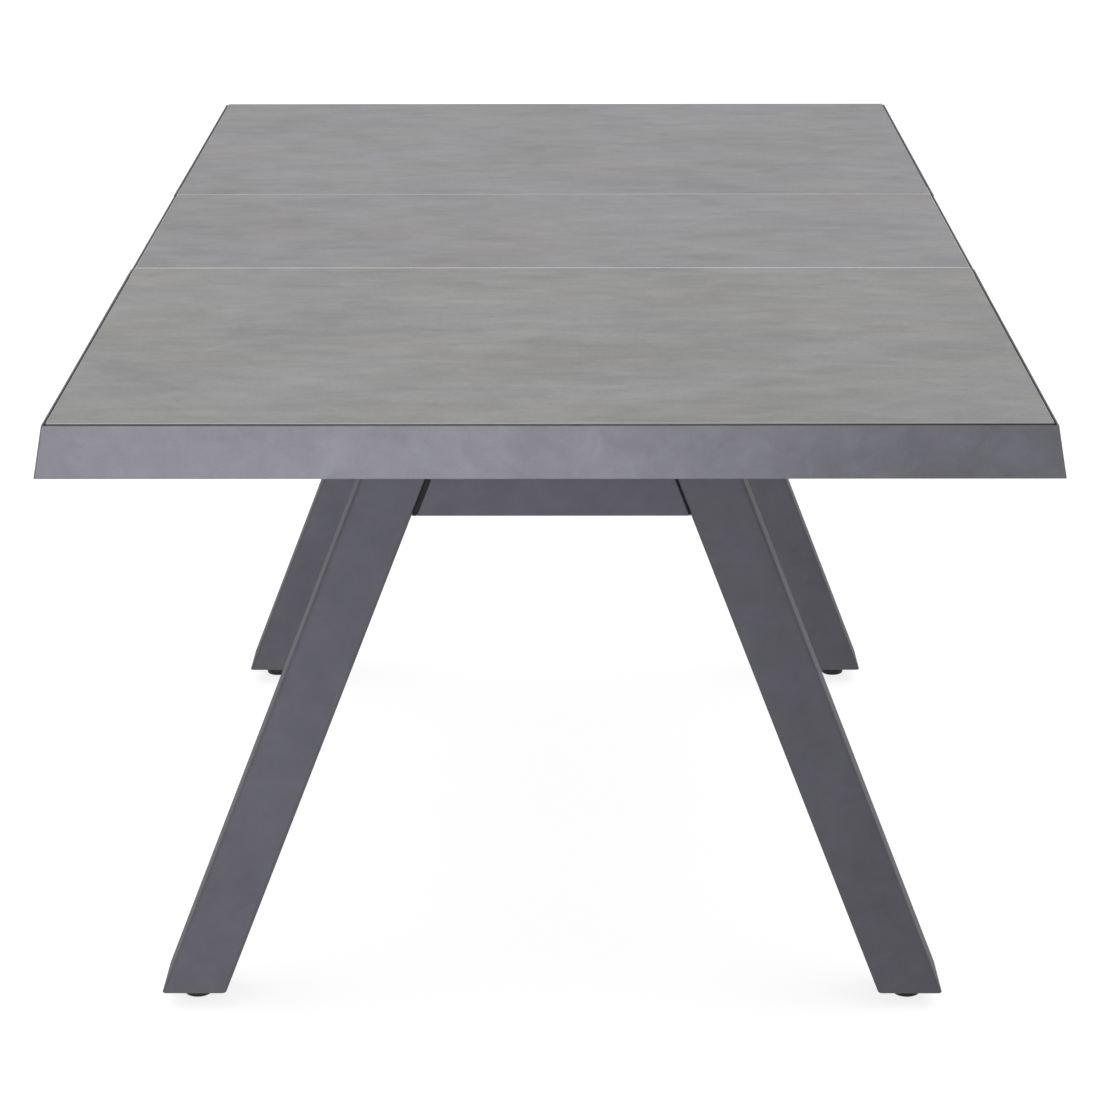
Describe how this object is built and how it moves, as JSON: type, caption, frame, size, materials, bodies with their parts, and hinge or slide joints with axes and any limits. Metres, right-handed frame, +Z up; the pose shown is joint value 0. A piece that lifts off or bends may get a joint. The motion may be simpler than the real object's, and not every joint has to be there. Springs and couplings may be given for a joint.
{
  "type": "extendable dining table",
  "caption": "Rectangular extendable dining table with splayed box-section legs, stone-look panels in a flared metal surround, and a centre leaf that swings down and under as the halves close.",
  "frame": {"origin": "on the floor, under the middle of the table", "axes": "+X across the table to the right, +Y along the table from the front end to the back end, +Z up"},
  "size_m": [1, 2.1, 0.759],
  "materials": {
    "slate_panel": "matt mid-grey with soft cloudy streaks across the table, like fine concrete",
    "surround_metal": "fine satin powder coat, metallic grey",
    "frame_metal": "fine satin powder coat, metallic anthracite",
    "runner_aluminium": "mill-finished extrusion with fine lengthwise lines",
    "link_steel": "zinc-plated, satin",
    "black_plastic": "moulded, matt black"
  },
  "bodies": {
    "base": {"spine_beam": "frame_metal", "crossbar_front": "frame_metal", "carrier_front": "frame_metal", "leg_front_left": "frame_metal", "leg_cap_front_left": "black_plastic", "crossbar_spacer_front_left": "black_plastic", "guide_front_left": "frame_metal", "pivot_bracket_front_left": "frame_metal", "leg_front_right": "frame_metal", "leg_cap_front_right": "black_plastic", "crossbar_spacer_front_right": "black_plastic", "guide_front_right": "frame_metal", "pivot_bracket_front_right": "frame_metal", "crossbar_back": "frame_metal", "carrier_back": "frame_metal", "leg_back_left": "frame_metal", "leg_cap_back_left": "black_plastic", "crossbar_spacer_back_left": "black_plastic", "guide_back_left": "frame_metal", "pivot_bracket_back_left": "frame_metal", "leg_back_right": "frame_metal", "leg_cap_back_right": "black_plastic", "crossbar_spacer_back_right": "black_plastic", "guide_back_right": "frame_metal", "pivot_bracket_back_right": "frame_metal"},
    "front_top": {"front_panel": "slate_panel", "front_apron_left": "surround_metal", "front_apron_right": "surround_metal", "front_apron_end": "surround_metal", "front_rail_seam": "frame_metal", "front_rail_middle": "frame_metal", "front_rail_end": "frame_metal", "front_runner_left": "runner_aluminium", "front_runner_right": "runner_aluminium"},
    "back_top": {"back_panel": "slate_panel", "back_apron_left": "surround_metal", "back_apron_right": "surround_metal", "back_apron_end": "surround_metal", "back_rail_seam": "frame_metal", "back_rail_middle": "frame_metal", "back_rail_end": "frame_metal", "back_runner_left": "runner_aluminium", "back_runner_right": "runner_aluminium"},
    "leaf": {"leaf_panel": "slate_panel", "leaf_rim_left": "surround_metal", "leaf_rim_right": "surround_metal", "leaf_rail_front": "frame_metal", "leaf_rail_back": "frame_metal", "leaf_ear_front_left": "link_steel", "leaf_ear_front_right": "link_steel", "leaf_ear_back_left": "link_steel", "leaf_ear_back_right": "link_steel"},
    "link_front_left": {"swing_link_front_left": "link_steel"},
    "foot_front_left": {"foot_front_left": "black_plastic"},
    "link_front_right": {"swing_link_front_right": "link_steel"},
    "foot_front_right": {"foot_front_right": "black_plastic"},
    "link_back_left": {"swing_link_back_left": "link_steel"},
    "foot_back_left": {"foot_back_left": "black_plastic"},
    "link_back_right": {"swing_link_back_right": "link_steel"},
    "foot_back_right": {"foot_back_right": "black_plastic"}
  },
  "joints": [
    {"name": "front_top_slide", "type": "slide", "parent": "base", "child": "front_top", "axis": [0, 1, 0], "range_m": [0, 0.25]},
    {"name": "back_top_slide", "type": "slide", "parent": "base", "child": "back_top", "axis": [0, -1, 0], "range_m": [0, 0.25]},
    {"name": "link_front_left_swing", "type": "hinge", "parent": "base", "child": "link_front_left", "pos_m": [-0.296, -0.435, 0.729], "axis": [-1, 0, 0], "range_deg": [0, 140]},
    {"name": "link_front_right_swing", "type": "hinge", "parent": "base", "child": "link_front_right", "pos_m": [0.296, -0.435, 0.729], "axis": [-1, 0, 0], "range_deg": [0, 140]},
    {"name": "link_back_left_swing", "type": "hinge", "parent": "base", "child": "link_back_left", "pos_m": [-0.296, 0.265, 0.729], "axis": [-1, 0, 0], "range_deg": [0, 140]},
    {"name": "link_back_right_swing", "type": "hinge", "parent": "base", "child": "link_back_right", "pos_m": [0.296, 0.265, 0.729], "axis": [-1, 0, 0], "range_deg": [0, 140]},
    {"name": "leaf_level_hinge", "type": "hinge", "parent": "link_front_left", "child": "leaf", "pos_m": [-0.296, -0.305, 0.729], "axis": [1, 0, 0], "range_deg": [0, 140]},
    {"name": "foot_front_left_turn", "type": "hinge", "parent": "base", "child": "foot_front_left", "pos_m": [-0.3985, -0.615, 0], "axis": [0, 0, 1], "continuous": true},
    {"name": "foot_front_right_turn", "type": "hinge", "parent": "base", "child": "foot_front_right", "pos_m": [0.3985, -0.615, 0], "axis": [0, 0, 1], "continuous": true},
    {"name": "foot_back_left_turn", "type": "hinge", "parent": "base", "child": "foot_back_left", "pos_m": [-0.3985, 0.615, 0], "axis": [0, 0, 1], "continuous": true},
    {"name": "foot_back_right_turn", "type": "hinge", "parent": "base", "child": "foot_back_right", "pos_m": [0.3985, 0.615, 0], "axis": [0, 0, 1], "continuous": true}
  ],
  "couplings": [
    {"joint": "back_top_slide", "follows": "front_top_slide", "ratio": 1},
    {"joint": "link_front_left_swing", "follows": "front_top_slide", "rad_per_m": 9.7738},
    {"joint": "link_front_right_swing", "follows": "front_top_slide", "rad_per_m": 9.7738},
    {"joint": "link_back_left_swing", "follows": "front_top_slide", "rad_per_m": 9.7738},
    {"joint": "link_back_right_swing", "follows": "front_top_slide", "rad_per_m": 9.7738},
    {"joint": "leaf_level_hinge", "follows": "front_top_slide", "rad_per_m": 9.7738}
  ]
}
